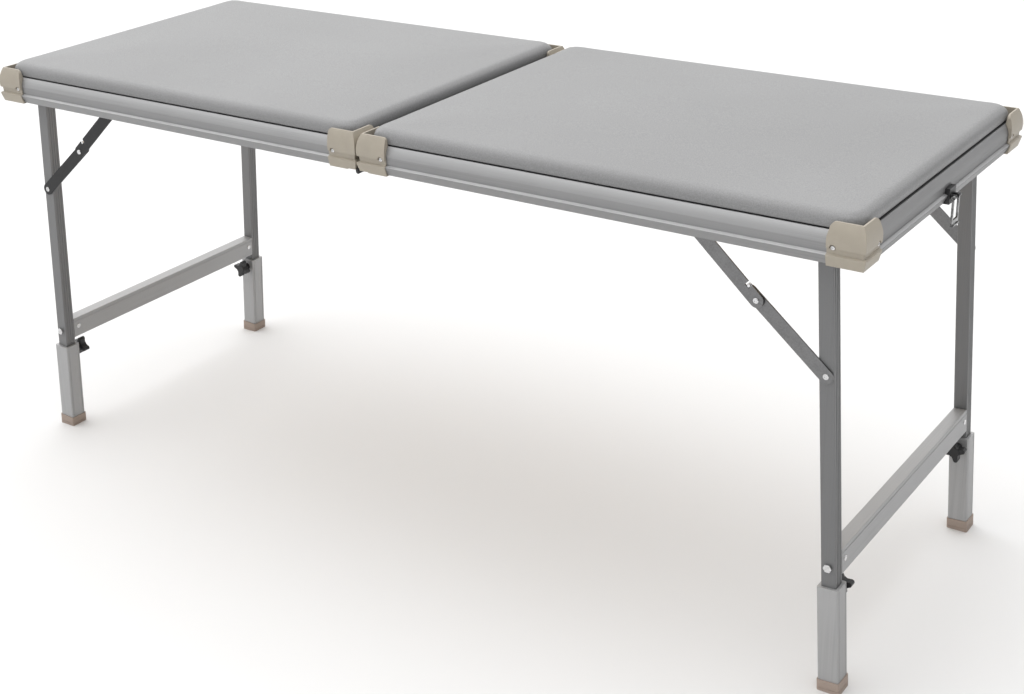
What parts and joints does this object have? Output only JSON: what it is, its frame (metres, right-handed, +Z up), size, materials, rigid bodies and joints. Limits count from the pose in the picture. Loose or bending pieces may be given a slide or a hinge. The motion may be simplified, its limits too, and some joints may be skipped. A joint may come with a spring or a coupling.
{
  "type": "folding treatment couch",
  "caption": "Portable padded folding table for massage or examination: hinged padded halves on fold-away aluminium leg frames with telescopic feet, side stays, a carrying handle and a latch.",
  "frame": {"origin": "on the floor, under the middle of the seam between the two halves", "axes": "+X along the length towards the half with the hanging latch loop, +Y across the width towards the carrying handle, +Z up"},
  "size_m": [1.885, 0.7156, 0.834],
  "materials": {
    "anodised_aluminium": "satin",
    "beige_foot_plastic": "matte",
    "beige_plastic": "matte",
    "black_plastic": "satin",
    "chrome_steel": "polished",
    "grey_vinyl": "satin",
    "plywood": "matte",
    "zinc_plated_steel": "satin"
  },
  "bodies": {
    "left_top": {"long_rail_left_front": "anodised_aluminium", "long_rail_left_back": "anodised_aluminium", "end_rail_left": "anodised_aluminium", "centre_rail_left": "anodised_aluminium", "corner_cap_left_front": "beige_plastic", "corner_cap_left_back": "beige_plastic", "centre_cap_left_front": "beige_plastic", "centre_cap_left_back": "beige_plastic", "board_left": "plywood", "cushion_left": "grey_vinyl", "hinge_leaves_left": "zinc_plated_steel", "frame_fasteners_left": "chrome_steel", "latch_base_left": "chrome_steel", "handle_bracket": "chrome_steel"},
    "right_top": {"long_rail_right_front": "anodised_aluminium", "long_rail_right_back": "anodised_aluminium", "end_rail_right": "anodised_aluminium", "centre_rail_right": "anodised_aluminium", "corner_cap_right_front": "beige_plastic", "corner_cap_right_back": "beige_plastic", "centre_cap_right_front": "beige_plastic", "centre_cap_right_back": "beige_plastic", "board_right": "plywood", "cushion_right": "grey_vinyl", "hinge_leaves_right": "zinc_plated_steel", "frame_fasteners_right": "chrome_steel", "latch_base_right": "chrome_steel"},
    "hinge_pins": {"hinge_pins": "zinc_plated_steel"},
    "left_leg_frame": {"leg_tube_left_front": "anodised_aluminium", "leg_tube_left_back": "anodised_aluminium", "crossbar_left": "anodised_aluminium", "leg_fasteners_left": "chrome_steel"},
    "left_front_sleeve": {"leg_sleeve_left_front": "anodised_aluminium", "foot_left_front": "beige_foot_plastic"},
    "left_front_knob": {"star_knob_left_front": "black_plastic"},
    "left_front_lower_link": {"stay_lower_link_left_front": "zinc_plated_steel"},
    "left_front_upper_link": {"stay_upper_link_left_front": "zinc_plated_steel"},
    "left_back_sleeve": {"leg_sleeve_left_back": "anodised_aluminium", "foot_left_back": "beige_foot_plastic"},
    "left_back_knob": {"star_knob_left_back": "black_plastic"},
    "left_back_lower_link": {"stay_lower_link_left_back": "zinc_plated_steel"},
    "left_back_upper_link": {"stay_upper_link_left_back": "zinc_plated_steel"},
    "right_leg_frame": {"leg_tube_right_front": "anodised_aluminium", "leg_tube_right_back": "anodised_aluminium", "crossbar_right": "anodised_aluminium", "leg_fasteners_right": "chrome_steel"},
    "right_front_sleeve": {"leg_sleeve_right_front": "anodised_aluminium", "foot_right_front": "beige_foot_plastic"},
    "right_front_knob": {"star_knob_right_front": "black_plastic"},
    "right_front_lower_link": {"stay_lower_link_right_front": "zinc_plated_steel"},
    "right_front_upper_link": {"stay_upper_link_right_front": "zinc_plated_steel"},
    "right_back_sleeve": {"leg_sleeve_right_back": "anodised_aluminium", "foot_right_back": "beige_foot_plastic"},
    "right_back_knob": {"star_knob_right_back": "black_plastic"},
    "right_back_lower_link": {"stay_lower_link_right_back": "zinc_plated_steel"},
    "right_back_upper_link": {"stay_upper_link_right_back": "zinc_plated_steel"},
    "handle": {"handle": "black_plastic"},
    "latch_loop": {"latch_loop": "chrome_steel"},
    "latch_lever": {"latch_lever": "chrome_steel"}
  },
  "joints": [
    {"name": "hinge_left_half", "type": "hinge", "parent": "left_top", "child": "hinge_pins", "pos_m": [0, 0, 0.749], "axis": [0, 1, 0], "range_deg": [0, 90]},
    {"name": "hinge_right_half", "type": "hinge", "parent": "hinge_pins", "child": "right_top", "pos_m": [0, 0, 0.749], "axis": [0, 1, 0], "range_deg": [0, 90]},
    {"name": "left_legs_fold", "type": "hinge", "parent": "left_top", "child": "left_leg_frame", "pos_m": [-0.8523, 0, 0.7705], "axis": [0, -1, 0], "range_deg": [0, 93.6]},
    {"name": "left_front_foot_slide", "type": "slide", "parent": "left_leg_frame", "child": "left_front_sleeve", "axis": [0.0628, 0, 0.998], "range_m": [-0.12, 0]},
    {"name": "left_front_knob_turn", "type": "hinge", "parent": "left_front_sleeve", "child": "left_front_knob", "pos_m": [-0.88982, -0.282, 0.17418], "axis": [0, -1, 0], "continuous": true},
    {"name": "left_front_upper_link_turn", "type": "hinge", "parent": "left_top", "child": "left_front_upper_link", "pos_m": [-0.626, 0, 0.7725], "axis": [0, -1, 0], "range_deg": [-43.14, 0.5]},
    {"name": "left_front_lower_link_turn", "type": "hinge", "parent": "left_leg_frame", "child": "left_front_lower_link", "pos_m": [-0.86571, 0, 0.55742], "axis": [0, -1, 0], "range_deg": [-0.5, 45.68]},
    {"name": "left_back_foot_slide", "type": "slide", "parent": "left_leg_frame", "child": "left_back_sleeve", "axis": [0.0628, 0, 0.998], "range_m": [-0.12, 0]},
    {"name": "left_back_knob_turn", "type": "hinge", "parent": "left_back_sleeve", "child": "left_back_knob", "pos_m": [-0.88982, 0.282, 0.17418], "axis": [0, 1, 0], "continuous": true},
    {"name": "left_back_upper_link_turn", "type": "hinge", "parent": "left_top", "child": "left_back_upper_link", "pos_m": [-0.626, 0, 0.7725], "axis": [0, -1, 0], "range_deg": [-43.14, 0.5]},
    {"name": "left_back_lower_link_turn", "type": "hinge", "parent": "left_leg_frame", "child": "left_back_lower_link", "pos_m": [-0.86571, 0, 0.55742], "axis": [0, -1, 0], "range_deg": [-0.5, 45.68]},
    {"name": "right_legs_fold", "type": "hinge", "parent": "right_top", "child": "right_leg_frame", "pos_m": [0.8523, 0, 0.7705], "axis": [0, 1, 0], "range_deg": [0, 93.6]},
    {"name": "right_front_foot_slide", "type": "slide", "parent": "right_leg_frame", "child": "right_front_sleeve", "axis": [-0.0628, 0, 0.998], "range_m": [-0.12, 0]},
    {"name": "right_front_knob_turn", "type": "hinge", "parent": "right_front_sleeve", "child": "right_front_knob", "pos_m": [0.88982, -0.282, 0.17418], "axis": [0, -1, 0], "continuous": true},
    {"name": "right_front_upper_link_turn", "type": "hinge", "parent": "right_top", "child": "right_front_upper_link", "pos_m": [0.626, 0, 0.7725], "axis": [0, 1, 0], "range_deg": [-43.14, 0.5]},
    {"name": "right_front_lower_link_turn", "type": "hinge", "parent": "right_leg_frame", "child": "right_front_lower_link", "pos_m": [0.86571, 0, 0.55742], "axis": [0, 1, 0], "range_deg": [-0.5, 45.68]},
    {"name": "right_back_foot_slide", "type": "slide", "parent": "right_leg_frame", "child": "right_back_sleeve", "axis": [-0.0628, 0, 0.998], "range_m": [-0.12, 0]},
    {"name": "right_back_knob_turn", "type": "hinge", "parent": "right_back_sleeve", "child": "right_back_knob", "pos_m": [0.88982, 0.282, 0.17418], "axis": [0, 1, 0], "continuous": true},
    {"name": "right_back_upper_link_turn", "type": "hinge", "parent": "right_top", "child": "right_back_upper_link", "pos_m": [0.626, 0, 0.7725], "axis": [0, 1, 0], "range_deg": [-43.14, 0.5]},
    {"name": "right_back_lower_link_turn", "type": "hinge", "parent": "right_leg_frame", "child": "right_back_lower_link", "pos_m": [0.86571, 0, 0.55742], "axis": [0, 1, 0], "range_deg": [-0.5, 45.68]},
    {"name": "handle_swing", "type": "hinge", "parent": "left_top", "child": "handle", "pos_m": [-0.465, 0.357, 0.7765], "axis": [1, 0, 0], "range_deg": [0, 90]},
    {"name": "latch_loop_swing", "type": "hinge", "parent": "right_top", "child": "latch_loop", "pos_m": [0.937, 0, 0.763], "axis": [0, -1, 0], "range_deg": [0, 100]},
    {"name": "latch_lever_turn", "type": "hinge", "parent": "left_top", "child": "latch_lever", "pos_m": [-0.937, 0, 0.7645], "axis": [0, -1, 0], "range_deg": [0, 90]}
  ],
  "couplings": [
    {"joint": "left_front_upper_link_turn", "follows": "left_legs_fold", "ratio": -0.45554},
    {"joint": "left_front_lower_link_turn", "follows": "left_legs_fold", "ratio": 0.48271},
    {"joint": "left_back_upper_link_turn", "follows": "left_legs_fold", "ratio": -0.45554},
    {"joint": "left_back_lower_link_turn", "follows": "left_legs_fold", "ratio": 0.48271},
    {"joint": "right_front_upper_link_turn", "follows": "right_legs_fold", "ratio": -0.45554},
    {"joint": "right_front_lower_link_turn", "follows": "right_legs_fold", "ratio": 0.48271},
    {"joint": "right_back_upper_link_turn", "follows": "right_legs_fold", "ratio": -0.45554},
    {"joint": "right_back_lower_link_turn", "follows": "right_legs_fold", "ratio": 0.48271}
  ]
}
